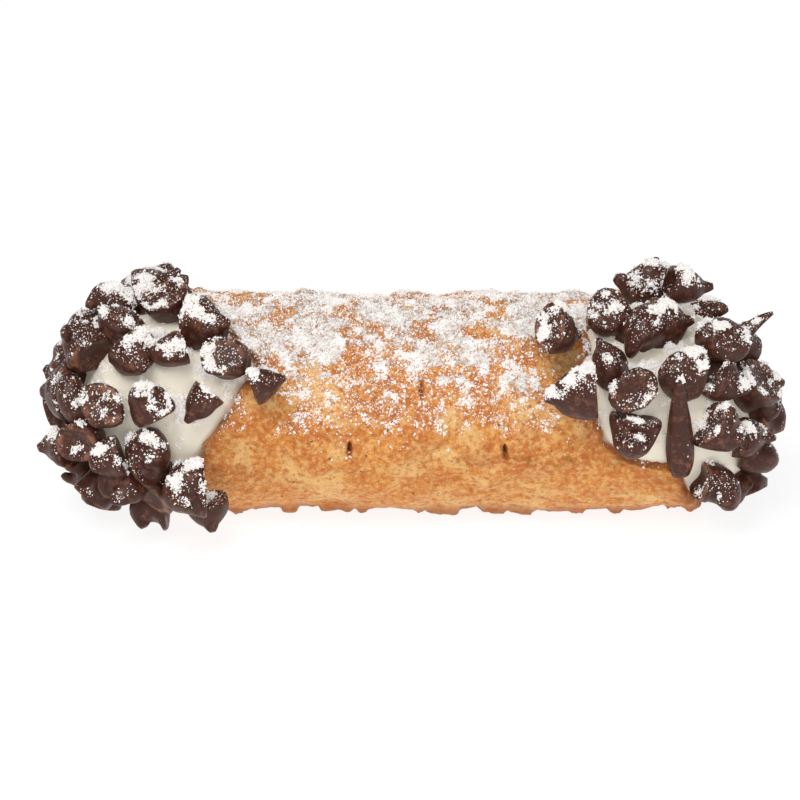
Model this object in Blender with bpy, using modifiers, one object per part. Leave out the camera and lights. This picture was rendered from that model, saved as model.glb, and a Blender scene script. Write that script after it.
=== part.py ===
"""A filled cannoli lying on its side: a fried pastry tube, a ricotta cream that runs
through it and bulges out of both open ends, and chocolate chips pressed into the cream.

Frame: X runs along the tube, Z is up, and the origin is on the table under the middle of
the tube. An angle around the tube is 0 at the front (-Y), 90 at the top, 180 at the back
and -90 at the bottom.
"""

import math
import random

import bmesh
import bpy
from mathutils import Matrix, Vector, noise
from mathutils.bvhtree import BVHTree

MM = 0.001
GAP = 0.3 * MM

# The tube that the dough was fried on, and the wall that it left.
TUBE_INNER_RADIUS = 15.8 * MM
WALL = 2.4 * MM
TUBE_OUTER_RADIUS = TUBE_INNER_RADIUS + WALL
SETTLED = 0.4 * MM
AXIS_HEIGHT = TUBE_OUTER_RADIUS - SETTLED
# Degrees to each side of the bottom within which no dent lifts the crust off the table.
RESTING_ANGLE = 12

# The oval of dough: half its length along the tube, and half its width before wrapping.
DOUGH_HALF_LENGTH = 44.6 * MM
DOUGH_HALF_WIDTH = 69.5 * MM
DOUGH_MIDDLE_X = 3.5 * MM
SEAM_ANGLE = 41
LAP_STEP = 0.7 * MM

# The lip of the right end, torn off short beside the seam and long below it.
TEAR_ANGLE = -10
TEAR_DEPTH = 4.4 * MM
LIP_LENGTH = 4.2 * MM
TOP_TRIM = 5.5 * MM

# Frying: how far the rims flare, and the blisters.
RIM_FLARE = 1.0 * MM
RIM_FLARE_REACH = 5 * MM
EDGE_WAVE = 0.9 * MM
BLISTER_COUNT = 46
BLISTER_HEIGHTS = (0.25 * MM, 1.1 * MM)
CRUST_BASE = -0.25 * MM
BLISTER_RADII = (3.5 * MM, 7 * MM)
SHELL_STEPS_AROUND = 44
SHELL_STEPS_ALONG = 27

# The slits pricked through the dough: place along the tube and angle around it.
SLITS = ((-8.3 * MM, -3), (3.5 * MM, 30), (17.2 * MM, -4))
SLIT_LENGTH = 3.4 * MM
SLIT_WIDTH = 1.0 * MM
SLIT_DEPTH = 1.7 * MM

# The cream: a rounded cylinder whose ends lean with the cut of the shell.
CREAM_RADIUS = 17.9 * MM
CREAM_HALF_LENGTH = 55.4 * MM
CREAM_MIDDLE_X = 1.6 * MM
CREAM_SQUARENESS = 8
CREAM_LEAN_LEFT = 0.07
CREAM_LEAN_RIGHT = 0.3
CREAM_SEGMENTS = 22
CREAM_RINGS = 24
CREAM_LUMPS = 0.5 * MM
CREAM_UNDERSIDE = 2.9 * MM
CREAM_END_RISE = 1.6 * MM
CREAM_RISE_REACH = 5 * MM

# Chip shapes: radius of the base, length to the tip, and how far the tip bends over.
CHIP_SHAPES = {
    "plain": (3.8 * MM, 8.2 * MM, 40),
    "small": (3.3 * MM, 6.8 * MM, 25),
    "large": (4.3 * MM, 9.2 * MM, 55),
    "curled": (3.9 * MM, 9.8 * MM, 95),
    "stick": (2.7 * MM, 15.5 * MM, 20),
    "spike": (2.2 * MM, 10.5 * MM, 45),
}
# The outline of a chip, as shares of its radius and of its length, from base to tip.
CHIP_OUTLINE = ((0, 0), (0.8, 0), (1, 0.2), (0.88, 0.47), (0.48, 0.77), (0, 1))
CHIP_SEGMENTS = 7
CHIP_SUNK = 1.3 * MM
CHIP_MIDDLE_CLEAR = 1.2 * MM
CHIP_LIFT_STEP = 0.4 * MM
CHIP_LIFT_STEPS = 14
FLOOR_CLEARANCE = 0.4 * MM
# Chips further apart than this can't touch, and a ray from this far out meets the surface.
CHIP_APART = 20 * MM
FAR_OUT = 60 * MM
# How far a chip may be moved aside to find room, and which way.
NUDGES = [(0, 0)] + [
    (far * MM, math.radians(45 * turn)) for far in (1.5, 3) for turn in range(8)
]

# The chips that face the front: place along the tube in mm, angle around it, the way the
# tip points as seen from the front (0 right, 90 up), its lean away from straight out, shape.
LEFT_CHIPS = (
    (-53, 38, 175, 75, "large"),
    (-40, 98, 0, 85, "large"),
    (-45, 86, 90, 40, "curled"),
    (-37, 76, 80, 160, "plain"),
    (-30.5, 58, 315, 80, "large"),
    (-27.5, 41, 20, 165, "plain"),
    (-42.5, 46, 300, 85, "plain"),
    (-32.5, 23, 235, 85, "small"),
    (-39.5, 27, 120, 80, "plain"),
    (-47.5, 20, 200, 150, "plain"),
    (-52.5, 2, 180, 160, "plain"),
    (-40, 7, 40, 88, "large"),
    (-37.5, -20, 180, 80, "large"),
    (-48, -36, 60, 150, "curled"),
    (-53.5, -28, 190, 60, "plain"),
    (-32, -32, 285, 60, "small"),
    (-45.5, -13, 200, 60, "small"),
    (-39.5, -46, 190, 85, "plain"),
    (-23.5, 36, 20, 85, "small"),
    (-44, 122, 250, 80, "plain"),
)
RIGHT_CHIPS = (
    (38, 92, 170, 92, "large"),
    (27.5, 52, 30, 150, "plain"),
    (29, 28, 185, 86, "large"),
    (38, 8, 260, 88, "curled"),
    (44, 3, 95, 88, "stick"),
    (43.5, 37, 185, 86, "large"),
    (55.5, 31, 0, 165, "large"),
    (55, 75, 20, 40, "spike"),
    (51, 4, 330, 85, "plain"),
    (56.5, -12, 0, 65, "plain"),
    (49, -29, 340, 75, "curled"),
    (32.5, 66, 250, 85, "plain"),
    (42, 86, 20, 85, "plain"),
    (45.5, 74, 20, 88, "plain"),
    (35.5, 25, 90, 160, "plain"),
    (46, 56, 200, 80, "large"),
    (42, 118, 100, 85, "plain"),
)
# The chips that fill the rest of each end, spread by chance.
LOOSE_CHIPS_EACH_END = 11
LOOSE_ANGLES = (150, 325)
LOOSE_PAST_RIM = 4 * MM
LOOSE_REACH = (30 * MM, 53 * MM)
LOOSE_SPACING = 7.6 * MM
LOOSE_LEANS = (20, 80, 90, 155)
LOOSE_SHAPES = ("plain", "small", "large", "curled")
LOOSE_TRIES = 4000
CHANCE_SEED = 6


def direction_around(angle):
    """The unit vector that points outwards from the tube's axis at an angle in degrees."""
    turn = math.radians(angle)
    return Vector((0, -math.cos(turn), math.sin(turn)))


def on_tube(along, angle, radius):
    """The point at a place along the tube, an angle around it and a distance off its axis."""
    return Vector((along, 0, AXIS_HEIGHT)) + direction_around(angle) * radius


def smooth_step(value, start, end):
    """0 before start, 1 after end, with an S-curve between."""
    share = min(max((value - start) / (end - start), 0), 1)
    return share * share * (3 - 2 * share)


def angle_from_seam(angle):
    """Degrees from the seam, -180 to 180: negative goes down the front from it."""
    return (angle - SEAM_ANGLE + 180) % 360 - 180


def oval_reach(angle):
    """Half the length of the wrapped oval at an angle: shortest at the seam."""
    from_far_side = 180 - abs(angle_from_seam(angle))
    around = math.radians(from_far_side) * (TUBE_INNER_RADIUS + WALL)
    return DOUGH_HALF_LENGTH * math.sqrt(1 - (around / DOUGH_HALF_WIDTH) ** 2)


def edge_wave(angle, side):
    """The uneven cut of the rim, as a smooth noise that closes on itself."""
    place = direction_around(angle) * 2.3
    return EDGE_WAVE * noise.noise(place + Vector((side * 5, 0, 0)))


def left_edge(angle):
    return DOUGH_MIDDLE_X - oval_reach(angle) + edge_wave(angle, -1)


def right_edge(angle):
    """The right rim: the oval, less the tear beside the seam, plus the lip below it."""
    reach = DOUGH_MIDDLE_X + oval_reach(angle) + edge_wave(angle, 1)
    seam = angle_from_seam(angle)
    below_tear = seam - angle_from_seam(TEAR_ANGLE)
    if seam < 0:
        torn = smooth_step(below_tear, -3, 3) * smooth_step(-seam, -8, 40)
        lip = smooth_step(-below_tear, -3, 3) * smooth_step(-below_tear, 100, 50)
        return reach - TEAR_DEPTH * torn + LIP_LENGTH * lip
    return reach - TOP_TRIM * smooth_step(seam, 0, 30) * smooth_step(seam, 130, 80)


def make_blisters(chance):
    """Round swellings of the crust: place along, angle around, radius and height."""
    return [
        (
            chance.uniform(-38, 44) * MM,
            chance.uniform(-70, 250),
            chance.uniform(*BLISTER_RADII),
            chance.uniform(*BLISTER_HEIGHTS),
        )
        for _ in range(BLISTER_COUNT)
    ]


def crust_height(along, angle, blisters):
    """How far the crust stands off the plain tube: blisters, flared rims and the lap."""
    height = CRUST_BASE
    for middle, turn, radius, rise in blisters:
        around = math.radians((angle - turn + 180) % 360 - 180) * TUBE_OUTER_RADIUS
        far = math.hypot(along - middle, around) / radius
        if far < 1:
            height = max(height, rise * (1 - far * far) ** 2)
    for edge in (left_edge(angle), right_edge(angle)):
        height += RIM_FLARE * smooth_step(abs(along - edge), RIM_FLARE_REACH, 0)
    seam = angle_from_seam(angle)
    height += LAP_STEP * smooth_step(seam, -6, 4) * smooth_step(seam, 60, 10)
    return max(height, 0) if abs(angle + 90) < RESTING_ANGLE else height


def face_outwards(mesh):
    """Turns the faces of a closed bmesh so that they all point out."""
    mesh.normal_update()
    bmesh.ops.recalc_face_normals(mesh, faces=mesh.faces)


def wrapped_sheet(name, radius, grow, steps_around, steps_along):
    """The dough as an open sheet rolled round the axis, its two long edges merged."""
    mesh = bmesh.new()
    bmesh.ops.create_grid(mesh, x_segments=steps_around, y_segments=steps_along, size=0.5)
    for vert in mesh.verts:
        angle = -360 * (vert.co.x + 0.5)
        start, end = left_edge(angle) - grow, right_edge(angle) + grow
        along = start + (end - start) * (vert.co.y + 0.5)
        vert.co = on_tube(along, angle, radius)
    bmesh.ops.remove_doubles(mesh, verts=mesh.verts, dist=0.01 * MM)
    return add_object(name, mesh)


def add_object(name, mesh):
    """An object in the scene that holds this bmesh."""
    data = bpy.data.meshes.new(name)
    mesh.to_mesh(data)
    mesh.free()
    made = bpy.data.objects.new(name, data)
    bpy.context.scene.collection.objects.link(made)
    return made


def applied(thing):
    """Puts the object's modifiers into its mesh."""
    bpy.context.view_layer.update()
    graph = bpy.context.evaluated_depsgraph_get()
    data = bpy.data.meshes.new_from_object(thing.evaluated_get(graph))
    thing.modifiers.clear()
    thing.data = data
    return thing


def thicken(thing, thickness):
    """Gives the open sheet a wall that grows outwards."""
    wall = thing.modifiers.new("Wall", "SOLIDIFY")
    wall.thickness = thickness
    wall.offset = 1
    wall.use_even_offset = True
    return applied(thing)


def cut(thing, cutter, name):
    """Takes the cutter's shape out of an object."""
    knife = thing.modifiers.new(name, "BOOLEAN")
    knife.operation = "DIFFERENCE"
    knife.solver = "EXACT"
    knife.object = cutter


def make_shell(blisters):
    """The fried tube: a rolled sheet with a wall, its outside raised by the frying."""
    shell = wrapped_sheet(
        "pastry_shell", TUBE_INNER_RADIUS, 0, SHELL_STEPS_AROUND, SHELL_STEPS_ALONG
    )
    thicken(shell, WALL)
    for vert in shell.data.vertices:
        off_axis = Vector((0, vert.co.y, vert.co.z - AXIS_HEIGHT))
        if off_axis.length < TUBE_INNER_RADIUS + WALL / 2:
            continue
        angle = math.degrees(math.atan2(off_axis.z, -off_axis.y))
        vert.co += direction_around(angle) * crust_height(vert.co.x, angle, blisters)
        vert.co.z = max(vert.co.z, 0)
    return shell


def make_slit_cutters():
    """Slim upright lenses that reach part of the way into the wall."""
    cutters = bmesh.new()
    for along, angle in SLITS:
        middle = on_tube(along, angle, TUBE_OUTER_RADIUS + 0.6 * MM)
        outwards = direction_around(angle)
        up = outwards.cross(Vector((1, 0, 0)))
        turn = Matrix((Vector((1, 0, 0)), outwards, up)).transposed().to_4x4()
        size = Matrix.Diagonal((SLIT_WIDTH / 2, SLIT_DEPTH + 0.6 * MM, SLIT_LENGTH / 2, 1))
        bmesh.ops.create_uvsphere(
            cutters,
            u_segments=8,
            v_segments=4,
            radius=1,
            matrix=Matrix.Translation(middle) @ turn @ size,
        )
    face_outwards(cutters)
    return add_object("slit_cutters", cutters)


def cream_point(unit):
    """Where a point of the unit sphere lies on the cream.

    The poles of the sphere are its ends. Along the axis its place is the fourth root of
    the cosine, which gives the outline (x/L)^8 + (r/R)^2 = 1: a cylinder with round ends.
    """
    share = math.copysign(abs(unit.z) ** (2 / CREAM_SQUARENESS), unit.z)
    radius = CREAM_RADIUS * math.hypot(unit.x, unit.y)
    angle = math.degrees(math.atan2(unit.y, unit.x))
    point = on_tube(CREAM_MIDDLE_X + CREAM_HALF_LENGTH * share, angle, radius)
    point += direction_around(angle) * CREAM_LUMPS * noise.noise(point / (9 * MM))
    lean = CREAM_LEAN_RIGHT if share > 0 else -CREAM_LEAN_LEFT
    point.x -= lean * (point.z - AXIS_HEIGHT) * share**4
    past_rim = max(left_edge(-90) - point.x, point.x - right_edge(-90))
    rise = smooth_step(past_rim, 0, CREAM_RISE_REACH)
    point.z = max(point.z, CREAM_UNDERSIDE + CREAM_END_RISE * rise)
    return point


def make_cream():
    cream = bmesh.new()
    bmesh.ops.create_uvsphere(
        cream, u_segments=CREAM_SEGMENTS, v_segments=CREAM_RINGS, radius=1
    )
    for vert in cream.verts:
        vert.co = cream_point(vert.co)
    face_outwards(cream)
    return add_object("ricotta_cream", cream)


def chip_mesh(radius, length, bend):
    """A chip: the outline turned round a centre line that bends as an arc towards +X."""
    chip = bmesh.new()
    bmesh.ops.create_uvsphere(
        chip, u_segments=CHIP_SEGMENTS, v_segments=len(CHIP_OUTLINE) - 1, radius=1
    )
    curve = math.radians(bend)
    for vert in chip.verts:
        ring = round(math.acos(-vert.co.z) / math.pi * (len(CHIP_OUTLINE) - 1))
        wide, share = CHIP_OUTLINE[ring]
        turn = math.atan2(vert.co.y, vert.co.x)
        across = radius * wide * math.cos(turn)
        tilt = curve * share
        centre_x = length / curve * (1 - math.cos(tilt))
        centre_z = length / curve * math.sin(tilt)
        vert.co = (
            centre_x + across * math.cos(tilt),
            radius * wide * math.sin(turn),
            centre_z - across * math.sin(tilt),
        )
    face_outwards(chip)
    data = bpy.data.meshes.new("chip")
    chip.to_mesh(data)
    chip.free()
    return data


def tree_of(thing):
    """A search tree of an object whose mesh is in world space."""
    return BVHTree.FromPolygons(
        [vert.co for vert in thing.data.vertices],
        [face.vertices for face in thing.data.polygons],
    )


def surface_under(along, angle, trees):
    """The outermost surface at a place: its point, normal and tree, or None past the end."""
    outwards = direction_around(angle)
    start = on_tube(along, angle, FAR_OUT)
    hits = [(*tree.ray_cast(start, -outwards)[:2], tree) for tree in trees]
    met = [hit for hit in hits if hit[0]]
    return max(met, key=lambda hit: hit[0].dot(outwards), default=None)


def chip_turn(normal, points, lean):
    """The rotation of a chip whose tip leans away from the normal towards `points`."""
    shown = Vector((math.cos(math.radians(points)), 0, math.sin(math.radians(points))))
    flat = shown - normal * shown.dot(normal)
    if flat.length < 0.2:
        flat = normal.orthogonal()
    flat.normalize()
    tilt = math.radians(lean)
    tip = normal * math.cos(tilt) + flat * math.sin(tilt)
    bend = (normal - tip * normal.dot(tip)) if lean > 30 else flat - tip * flat.dot(tip)
    bend.normalize()
    return Matrix((bend, tip.cross(bend), tip)).transposed()


class Chips:
    """The chips laid so far. A new one comes down on the cream until it would touch."""

    def __init__(self, cream, shell):
        self.cream = tree_of(cream)
        self.shell = tree_of(shell)
        self.meshes = {name: chip_mesh(*size) for name, size in CHIP_SHAPES.items()}
        self.laid = []

    def grown(self, shape, place):
        """The chip's corners, faces and middle, with the gap added all round."""
        mesh = self.meshes[shape]
        middle = sum((vert.co for vert in mesh.vertices), Vector()) / len(mesh.vertices)
        grow = 1 + 1.25 * GAP / CHIP_SHAPES[shape][0]
        points = [place @ (middle + (v.co - middle) * grow) for v in mesh.vertices]
        return points, [face.vertices for face in mesh.polygons], place @ middle

    def is_free(self, shape, place):
        """Whether a chip here clears the table, the shell, the others and deep cream."""
        points, faces, middle = self.grown(shape, place)
        near, facing = self.cream.find_nearest(middle)[:2]
        if (middle - near).dot(facing) < CHIP_MIDDLE_CLEAR:
            return False
        tree = BVHTree.FromPolygons(points, faces)
        if min(point.z for point in points) < FLOOR_CLEARANCE or tree.overlap(self.shell):
            return False
        close = (laid for laid in self.laid if (laid[3] - middle).length < CHIP_APART)
        return not any(tree.overlap(laid[2]) for laid in close)

    def try_at(self, along, angle, points, lean, shape):
        """Sets a chip down here, then lifts it until it is free: (lift, place) or None."""
        under = surface_under(along, angle, (self.cream, self.shell))
        if under is None:
            return None
        spot, normal, tree = under
        turn = chip_turn(normal, points, lean)
        corners = [turn @ vert.co for vert in self.meshes[shape].vertices]
        middle = sum(corners, Vector()) / len(corners)
        sunk = CHIP_SUNK if tree is self.cream else -GAP
        depth = min(corner.dot(normal) for corner in corners) + sunk
        start = spot - middle + normal * (middle.dot(normal) - depth)
        lowest = start.z + min(corner.z for corner in corners)
        start.z += max(0, FLOOR_CLEARANCE + 2 * GAP - lowest)
        way = Vector((normal.x, normal.y, max(normal.z, 0) + 0.25)).normalized()
        for step in range(CHIP_LIFT_STEPS):
            place = Matrix.Translation(start + way * CHIP_LIFT_STEP * step) @ turn.to_4x4()
            if self.is_free(shape, place):
                return CHIP_LIFT_STEP * step, place
        return None

    def lay(self, along, angle, points, lean, shape):
        """Lays one chip where it needs the least lift and the least nudge aside."""
        tries = []
        for nudge, way in NUDGES:
            beside = along + nudge * math.cos(way)
            turned = angle + math.degrees(nudge * math.sin(way) / CREAM_RADIUS)
            found = self.try_at(beside, turned, points, lean, shape)
            if found:
                tries.append((found[0] + nudge / 2, len(tries), found[1]))
        if not tries:
            return False
        place = min(tries)[2]
        grown, faces, centre = self.grown(shape, place)
        self.laid.append((shape, place, BVHTree.FromPolygons(grown, faces), centre))
        return True

    def room_at(self, along, angle):
        """Whether this place on the surface is clear of the chips that are there."""
        spot = surface_under(along, angle, (self.cream, self.shell))[0]
        return all((laid[3] - spot).length > LOOSE_SPACING for laid in self.laid)


def scatter_loose_chips(chips, chance):
    """Fills the back and the underside of each end with chips, at random."""
    for side, edge in ((-1, left_edge), (1, right_edge)):
        count = 0
        for _ in range(LOOSE_TRIES):
            if count == LOOSE_CHIPS_EACH_END:
                break
            along = CREAM_MIDDLE_X + side * chance.uniform(*LOOSE_REACH)
            angle = chance.uniform(*LOOSE_ANGLES)
            points, lean = chance.uniform(0, 360), chance.choice(LOOSE_LEANS)
            shape = chance.choice(LOOSE_SHAPES)
            if (along - edge(angle)) * side < LOOSE_PAST_RIM or not chips.room_at(along, angle):
                continue
            count += chips.lay(along, angle, points, lean, shape)


def make_chips(cream, shell, chance):
    chips = Chips(cream, shell)
    for along, angle, points, lean, shape in LEFT_CHIPS + RIGHT_CHIPS:
        if not chips.lay(along * MM, angle, points, lean, shape):
            print("no room for the chip at", along, angle)
    scatter_loose_chips(chips, chance)
    return chips


def make_chip_cutters(chips):
    """One mesh of every chip grown by the gap, which presses the sockets in the cream."""
    cutters = bmesh.new()
    for shape, place, _, _ in chips.laid:
        points, faces, _ = chips.grown(shape, place)
        corners = [cutters.verts.new(point) for point in points]
        for face in faces:
            cutters.faces.new([corners[index] for index in face])
    face_outwards(cutters)
    return add_object("chip_cutters", cutters)


def food_material(name, colour, roughness):
    """A plain opaque finish. The colour is linear red, green and blue."""
    made = bpy.data.materials.new(name)
    made.use_nodes = True
    finish = made.node_tree.nodes["Principled BSDF"]
    finish.inputs["Base Color"].default_value = (*colour, 1)
    finish.inputs["Roughness"].default_value = roughness
    finish.inputs["Metallic"].default_value = 0
    return made


def put_in(collection, things):
    for thing in things:
        for holder in list(thing.users_collection):
            holder.objects.unlink(thing)
        collection.objects.link(thing)


def main():
    for thing in list(bpy.data.objects):
        bpy.data.objects.remove(thing, do_unlink=True)

    fried = food_material("fried_pastry", (0.65, 0.29, 0.09), 0.6)
    ricotta = food_material("ricotta_cream", (0.78, 0.71, 0.58), 0.45)
    chocolate = food_material("dark_chocolate", (0.06, 0.025, 0.016), 0.4)

    chance = random.Random(CHANCE_SEED)
    shell = make_shell(make_blisters(chance))
    cream = make_cream()
    chips = make_chips(cream, shell, chance)

    slit_cutters = make_slit_cutters()
    cut(shell, slit_cutters, "Pricked slits")
    bore = wrapped_sheet("shell_space", TUBE_INNER_RADIUS - GAP, GAP, SHELL_STEPS_AROUND, 2)
    thicken(bore, 3 * WALL)
    cut(cream, bore, "Space for the shell")
    sockets = make_chip_cutters(chips)
    cut(cream, sockets, "Chip sockets")

    shell.data.materials.append(fried)
    cream.data.materials.append(ricotta)
    for mesh in chips.meshes.values():
        mesh.materials.append(chocolate)
    laid = []
    for number, (shape, place, _, _) in enumerate(chips.laid, 1):
        chip = bpy.data.objects.new(f"chocolate_chip_{number:02d}", chips.meshes[shape])
        chip.matrix_world = place
        laid.append(chip)

    parts = bpy.data.collections.new("Cannoli")
    cutters = bpy.data.collections.new("Cutters")
    for collection in (parts, cutters):
        bpy.context.scene.collection.children.link(collection)
    put_in(parts, [shell, cream, *laid])
    put_in(cutters, [slit_cutters, bore, sockets])
    for cutter in cutters.objects:
        cutter.hide_render = True
        cutter.display_type = "WIRE"
    for thing in parts.objects:
        thing.data.shade_smooth()


main()
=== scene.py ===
# %% [markdown]
# # A filled cannoli, finished in Blender
#
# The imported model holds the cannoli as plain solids: a fried tube, a cream core and the
# chocolate chips. This lesson keeps each where it is and gives it its real surface: a
# blistered crust, soft cream, curled chips and a fall of icing sugar. All shapes are
# worked out with numpy, in metres, and put into meshes as whole arrays.

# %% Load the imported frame
import itertools

import bmesh
import bpy
import numpy as np
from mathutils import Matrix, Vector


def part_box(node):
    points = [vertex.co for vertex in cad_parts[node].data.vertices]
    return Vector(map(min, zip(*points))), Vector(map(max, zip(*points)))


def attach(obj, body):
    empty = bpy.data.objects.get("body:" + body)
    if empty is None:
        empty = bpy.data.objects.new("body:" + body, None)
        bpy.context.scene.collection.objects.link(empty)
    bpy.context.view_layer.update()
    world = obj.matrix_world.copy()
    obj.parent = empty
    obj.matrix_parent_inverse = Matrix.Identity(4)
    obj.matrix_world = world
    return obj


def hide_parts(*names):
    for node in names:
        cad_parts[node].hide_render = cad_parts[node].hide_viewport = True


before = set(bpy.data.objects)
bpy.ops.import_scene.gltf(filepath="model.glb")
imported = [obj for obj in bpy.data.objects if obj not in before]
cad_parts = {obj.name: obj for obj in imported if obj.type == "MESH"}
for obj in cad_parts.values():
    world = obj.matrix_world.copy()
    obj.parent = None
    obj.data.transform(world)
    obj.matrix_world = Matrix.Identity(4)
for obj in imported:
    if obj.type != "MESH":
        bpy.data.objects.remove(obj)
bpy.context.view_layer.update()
MM = 0.001

# %% [markdown]
# ## Where the tube is
#
# The shell's inside was formed by a smooth metal tube, so it is a true cylinder. An angle
# round it is 0 at the front, 90 at the top and -90 at the bottom. The crust and the cream
# are each a distance off the axis for every angle and every place along it.

# %% Go between places round the tube and points in space
TUBE_RADIUS = 15.8 * MM
WALL = 2.4 * MM
CRUST_RADIUS = TUBE_RADIUS + WALL
AXIS_HEIGHT = 17.8 * MM


def rows_of(items, key, kind=float):
    """Three numbers from each of a mesh's items, one row an item."""
    flat = np.empty(len(items) * 3, kind)
    items.foreach_get(key, flat)
    return flat.reshape(-1, 3)


def points_of(piece):
    """The places of a piece's points as rows of x, y, z."""
    return rows_of(piece.data.vertices, "co")


def around(points):
    """The angle of each point round the tube's axis in degrees, and its distance off it."""
    up = points[..., 2] - AXIS_HEIGHT
    return np.degrees(np.arctan2(up, -points[..., 1])), np.hypot(points[..., 1], up)


def outwards(angle):
    """Unit vectors square to the axis: minus the cosine along Y, the sine along Z."""
    turn = np.radians(angle)
    return np.stack([0 * turn, -np.cos(turn), np.sin(turn)], axis=-1)


def on_tube(along, angle, radius):
    """Points at a place along the tube, an angle round it and a distance off its axis."""
    point = outwards(angle) * np.expand_dims(radius, -1)
    point[..., 0] += along
    point[..., 2] += AXIS_HEIGHT
    return point


def turn_from(other, angle):
    """The turn from another angle to this one in degrees, -180 to 180."""
    return (angle - other + 180) % 360 - 180


print("the plain crust is", round(2 * CRUST_RADIUS / MM, 1), "mm across")


# %% [markdown]
# The shell's two edges are the cut of the dough, slanting and uneven. They are read from
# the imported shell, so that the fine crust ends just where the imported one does.

# %% Read the two rims
RIM_CORNER = 0.2 * MM  # a corner this near the tube's radius is on the inner wall


def rim_reader(side):
    """A function of the angle that gives the rim's place along the tube.

    The rim is the furthest inner corner of the shell on that side, angle by angle, and
    straight lines join the readings round the tube.
    """
    corners = points_of(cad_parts["pastry_shell"])
    angle, radius = around(corners)
    inner = radius < TUBE_RADIUS + RIM_CORNER
    turns, which = np.unique(np.round(angle[inner]), return_inverse=True)
    reach = np.full(len(turns), -1.0)
    np.maximum.at(reach, which, side * corners[inner, 0])
    return lambda angles: side * np.interp(angles, turns, reach, period=360)


left_rim, right_rim = rim_reader(-1), rim_reader(1)
print("rims at the front:", np.round([left_rim(0) / MM, right_rim(0) / MM], 1), "mm")

# %% [markdown]
# ## Noise to grow surfaces from
#
# Frying, piping and sifting all leave uneven surfaces. Smooth noise rolls gently between
# random values. Cell noise gives the distance to the nearest of many scattered points, so
# it makes round swellings with creases between them. Both read a place in space, so they
# close up round the tube with no seam.

# %% Make smooth noise
LATTICE = 32  # the noise repeats after this many swells


def s_curve(value, start, end):
    """0 before start, 1 after end, with an S-curve between. It may run backwards."""
    share = np.clip((value - start) / (end - start), 0, 1)
    return share * share * (3 - 2 * share)


def smooth_noise(points, size, seed):
    """Random values on a cubic lattice, blended by S-curves: about -1 to 1."""
    table = np.random.default_rng(seed).uniform(-1, 1, (LATTICE,) * 3)
    place = points / size
    corner = np.floor(place).astype(int)
    share = s_curve(place - corner, 0, 1)
    total = np.zeros(points.shape[:-1])
    for step in itertools.product((0, 1), repeat=3):
        weight = np.prod(np.where(step, share, 1 - share), axis=-1)
        index = (corner + step) % LATTICE
        total += weight * table[index[..., 0], index[..., 1], index[..., 2]]
    return total


def rough_noise(points, size, seed, octaves=3):
    """Smooth noise with finer copies of itself, each half as large and half as strong."""
    layers = (smooth_noise(points, size / 2**n, seed + n) / 2**n for n in range(octaves))
    return sum(layers)


first_noise = smooth_noise(np.linspace(0, 1, 300).reshape(-1, 3), 20 * MM, 1)
print("smooth noise from", first_noise.min().round(2), "to", first_noise.max().round(2))

# %% Make cell noise


def cell_noise(points, size, seed):
    """Distances to the nearest and second nearest of points scattered one to a cube.

    Also gives a random number that belongs to the nearest point.
    """
    rng = np.random.default_rng(seed)
    spots = rng.uniform(0, 1, (LATTICE,) * 3 + (3,))
    names = rng.uniform(0, 1, (LATTICE,) * 3)
    place = points / size
    cube = np.floor(place).astype(int)
    first = np.full(points.shape[:-1], np.inf)
    second = first.copy()
    name = np.zeros(points.shape[:-1])
    for step in itertools.product((-1, 0, 1), repeat=3):
        index = tuple(np.moveaxis((cube + step) % LATTICE, -1, 0))
        far = np.linalg.norm(cube + step + spots[index] - place, axis=-1)
        nearer = far < first
        second = np.where(nearer, first, np.minimum(second, far))
        name = np.where(nearer, names[index], name)
        first = np.where(nearer, far, first)
    return first * size, second * size, name


nearest, _, _ = cell_noise(np.linspace(0, 1, 300).reshape(-1, 3), 20 * MM, 1)
print("the nearest points are", (nearest.mean() / MM).round(), "mm away on average")


# %% [markdown]
# ## From arrays to meshes
#
# Each surface is a grid of points. Its faces join neighbours, round the back to the first
# column, and either round to the first row, as on a ring, or to one point at each end.
# What a surface needs for its colours goes in as attributes, one number to a point.

# %% Join the points of a grid


def grid_faces(rows, columns, ring):
    """Four-sided faces between the rows of a grid whose columns close up."""
    row = np.arange(rows if ring else rows - 1)[:, None]
    column = np.arange(columns)[None, :]
    beside, above = (column + 1) % columns, (row + 1) % rows
    corners = (row, column), (row, beside), (above, beside), (above, column)
    return np.stack([(r * columns + c) for r, c in corners], axis=-1).reshape(-1, 4)


def end_faces(rows, columns):
    """Triangles from the first and last rows to two end points that follow the grid."""
    column = np.arange(columns)
    beside = (column + 1) % columns
    start = np.full(columns, rows * columns)
    top = (rows - 1) * columns
    first = np.stack([beside, column, start], axis=-1)
    last = np.stack([top + column, top + beside, start + 1], axis=-1)
    return np.concatenate([first, last])


print("a grid of 3 by 4 points has", len(grid_faces(3, 4, ring=False)), "faces")

# %% Put points and faces into a mesh


def add_values(piece, key, numbers):
    """Gives a piece one number for each of its points, for its finish to read."""
    layer = piece.data.attributes.new(key, "FLOAT", "POINT")
    layer.data.foreach_set("value", np.ascontiguousarray(numbers, np.float32))


def new_object(name, data):
    """An object with this data, linked into the scene."""
    made = bpy.data.objects.new(name, data)
    bpy.context.collection.objects.link(made)
    return made


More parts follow.
